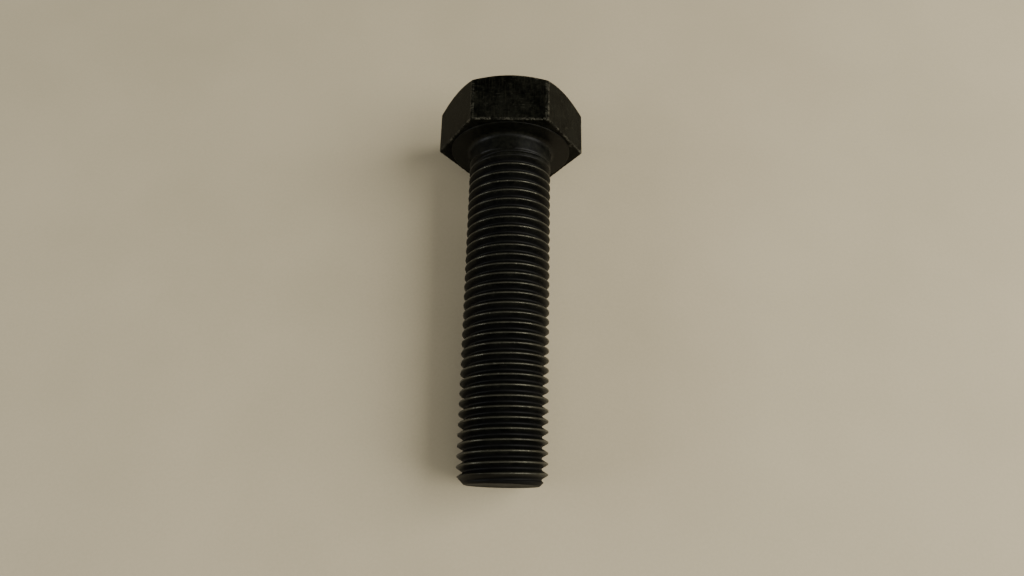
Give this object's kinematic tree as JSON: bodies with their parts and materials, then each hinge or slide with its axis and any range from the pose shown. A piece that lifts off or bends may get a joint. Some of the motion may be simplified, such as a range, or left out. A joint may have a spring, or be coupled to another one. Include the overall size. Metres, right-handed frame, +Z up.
{
  "type": "hex bolt",
  "caption": "Black hex head bolt, threaded almost to the head, with a chamfered hexagon, a washer face, a short plain neck and a chamfered point.",
  "frame": {"origin": "on the bolt's axis, in the bearing face under the head", "axes": "+Y along the axis from the thread towards the head, +Z up out of the upper wrench flat, +X towards a corner of the hexagon"},
  "size_m": [0.039, 0.1024, 0.034],
  "materials": {
    "black_oxide_steel": "satin black oxide over forged and threaded steel"
  },
  "bodies": {
    "root": {"hex_head": "black_oxide_steel", "washer_face": "black_oxide_steel", "plain_neck": "black_oxide_steel", "threaded_shank": "black_oxide_steel"}
  },
  "joints": []
}
